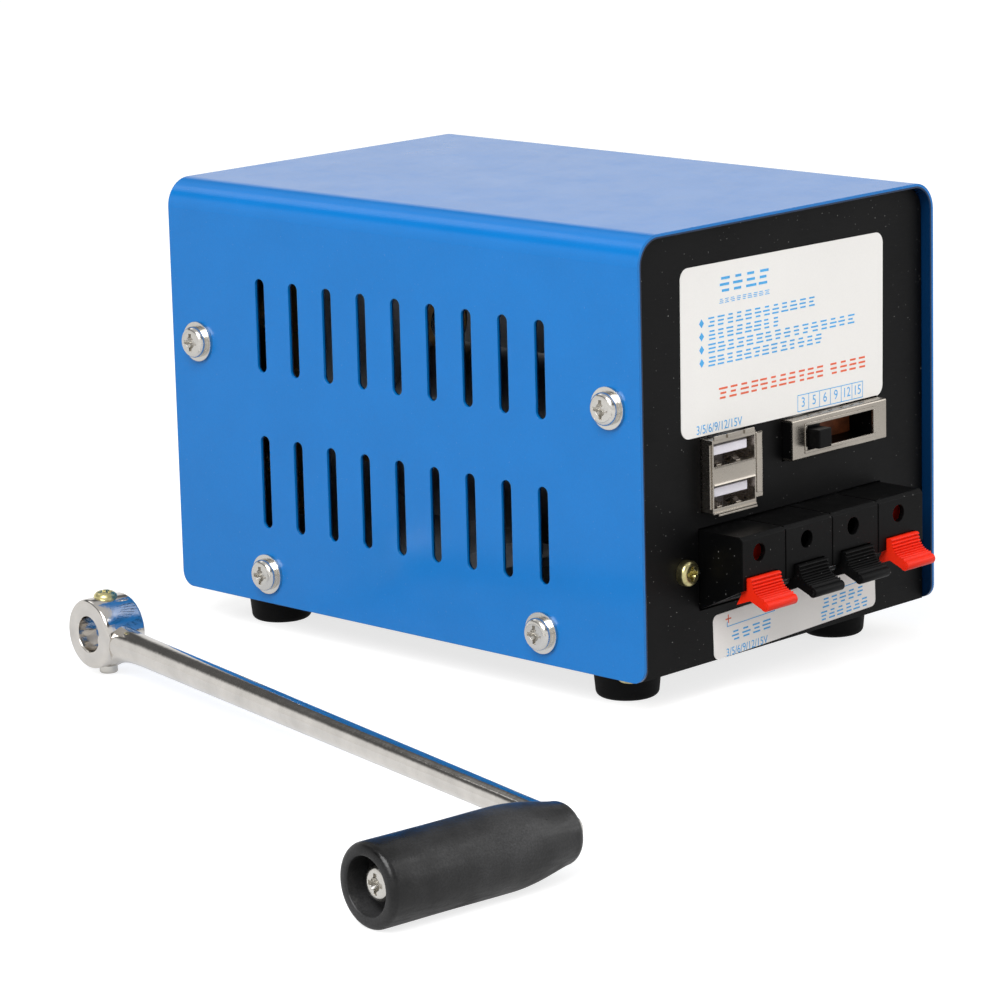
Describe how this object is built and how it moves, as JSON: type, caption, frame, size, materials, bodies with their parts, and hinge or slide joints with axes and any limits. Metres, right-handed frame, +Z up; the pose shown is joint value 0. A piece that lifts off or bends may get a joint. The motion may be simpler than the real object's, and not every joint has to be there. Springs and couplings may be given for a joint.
{
  "type": "hand crank generator",
  "caption": "Sheet-metal hand crank generator on rubber feet with slotted sides, double USB socket, slide switch and push terminals, its loose crank lying beside it.",
  "frame": {"origin": "under the middle of everything, case and loose crank together, on the surface they stand on", "axes": "+Z up; +Y along the drive shaft, away from the front panel with the sockets; +X to the right of someone facing the front panel"},
  "size_m": [0.2416, 0.2356, 0.1058],
  "materials": {
    "blue_paint": "glossy blue paint",
    "black_paint": "satin black paint",
    "bright_steel": "bright nickel-plated steel",
    "zinc_steel": "zinc-plated steel",
    "black_rubber": "matte black rubber",
    "yellow_zinc": "yellow zinc plating",
    "label_film": "satin printed film",
    "nickel_sheet": "nickel-plated sheet",
    "white_plastic": "moulded white plastic",
    "gold_contact": "gold-plated contact",
    "black_plastic": "moulded black plastic",
    "brown_board": "brown laminate",
    "tinned_brass": "tinned brass",
    "red_plastic": "moulded red plastic",
    "green_board": "green solder mask",
    "brass": "machined brass",
    "ferrite": "grey ferrite",
    "copper": "enamelled copper wire",
    "aluminium": "extruded aluminium",
    "tan_plastic": "lacquered ceramic",
    "bronze": "sintered bronze",
    "graphite": "carbon brush",
    "lamination": "stacked steel sheets",
    "red_insulation": "red insulated wire",
    "black_insulation": "black insulated wire",
    "nickel_casting": "nickel-plated casting",
    "crank_screw_zinc": "yellow zinc plating",
    "grip_plastic": "turned black plastic"
  },
  "bodies": {
    "case": {"cover": "blue_paint", "chassis": "black_paint", "cover_screws": "bright_steel", "clinch_nuts": "zinc_steel", "feet": "black_rubber", "m3_screws": "yellow_zinc", "m3_nuts": "yellow_zinc", "upper_label": "label_film", "lower_label": "label_film", "usb_shell": "nickel_sheet", "usb_insulators": "white_plastic", "usb_contacts": "gold_contact", "switch_frame": "nickel_sheet", "switch_body": "black_plastic", "switch_board": "brown_board", "switch_pins": "tinned_brass", "terminal_block": "black_plastic", "terminal_contacts": "nickel_sheet", "circuit_board": "green_board", "board_standoffs": "brass", "capacitors": "black_plastic", "inductor_core": "ferrite", "inductor_coil": "copper", "heat_sink": "aluminium", "regulator": "black_plastic", "diodes": "black_plastic", "resistors": "tan_plastic", "rear_plate": "zinc_steel", "front_plate": "zinc_steel", "gearbox_pillars": "zinc_steel", "gearbox_screws": "bright_steel", "bushes": "bronze", "motor_can": "zinc_steel", "end_bell": "black_plastic", "motor_terminals": "brass", "brushes": "graphite", "magnets": "ferrite", "motor_screws": "bright_steel", "red_leads": "red_insulation", "black_leads": "black_insulation"},
    "drive_train": {"drive_shaft": "bright_steel", "drive_gear": "brass", "shaft_clips": "bright_steel"},
    "second_train": {"second_shaft": "bright_steel", "second_pinion": "bright_steel", "second_gear": "brass"},
    "rotor": {"motor_pinion": "brass", "rotor_core": "lamination", "rotor_windings": "copper", "commutator": "copper", "rotor_shaft": "bright_steel"},
    "selector": {"switch_slider": "black_plastic"},
    "lever_one": {"lever_1": "red_plastic"},
    "lever_two": {"lever_2": "black_plastic"},
    "lever_three": {"lever_3": "black_plastic"},
    "lever_four": {"lever_4": "red_plastic"},
    "crank": {"crank_arm": "nickel_casting", "crank_clamp_screw": "crank_screw_zinc", "crank_bolts": "bright_steel"},
    "grip": {"grip": "grip_plastic"}
  },
  "joints": [
    {"name": "drive_shaft_spin", "type": "hinge", "parent": "case", "child": "drive_train", "pos_m": [0.06794, 0.07383, 0.069], "axis": [0, 1, 0], "continuous": true},
    {"name": "second_shaft_spin", "type": "hinge", "parent": "case", "child": "second_train", "pos_m": [0.04249, 0.07383, 0.04354], "axis": [0, 1, 0], "continuous": true},
    {"name": "rotor_spin", "type": "hinge", "parent": "case", "child": "rotor", "pos_m": [0.06649, 0.07383, 0.04354], "axis": [0, 1, 0], "continuous": true},
    {"name": "selector_slide", "type": "slide", "parent": "case", "child": "selector", "axis": [1, 0, 0], "range_m": [0, 0.0185]},
    {"name": "lever_one_press", "type": "hinge", "parent": "case", "child": "lever_one", "pos_m": [0.04534, -0.05637, 0.0282], "axis": [1, 0, 0], "range_deg": [0, 15], "stiffness_Nm_per_rad": 0.01},
    {"name": "lever_two_press", "type": "hinge", "parent": "case", "child": "lever_two", "pos_m": [0.06134, -0.05637, 0.0282], "axis": [1, 0, 0], "range_deg": [0, 15], "stiffness_Nm_per_rad": 0.01},
    {"name": "lever_three_press", "type": "hinge", "parent": "case", "child": "lever_three", "pos_m": [0.07734, -0.05637, 0.0282], "axis": [1, 0, 0], "range_deg": [0, 15], "stiffness_Nm_per_rad": 0.01},
    {"name": "lever_four_press", "type": "hinge", "parent": "case", "child": "lever_four", "pos_m": [0.09334, -0.05637, 0.0282], "axis": [1, 0, 0], "range_deg": [0, 15], "stiffness_Nm_per_rad": 0.01},
    {"name": "crank_lift", "type": "slide", "parent": "case", "child": "crank", "axis": [0, 0, 1], "range_m": [0, 0.1]},
    {"name": "grip_spin", "type": "hinge", "parent": "crank", "child": "grip", "pos_m": [-0.09092, -0.10897, 0.0084], "axis": [-0.9954, 0.0958, 0], "continuous": true}
  ],
  "couplings": [
    {"joint": "second_shaft_spin", "follows": "drive_shaft_spin", "ratio": -5},
    {"joint": "rotor_spin", "follows": "drive_shaft_spin", "ratio": 20}
  ]
}
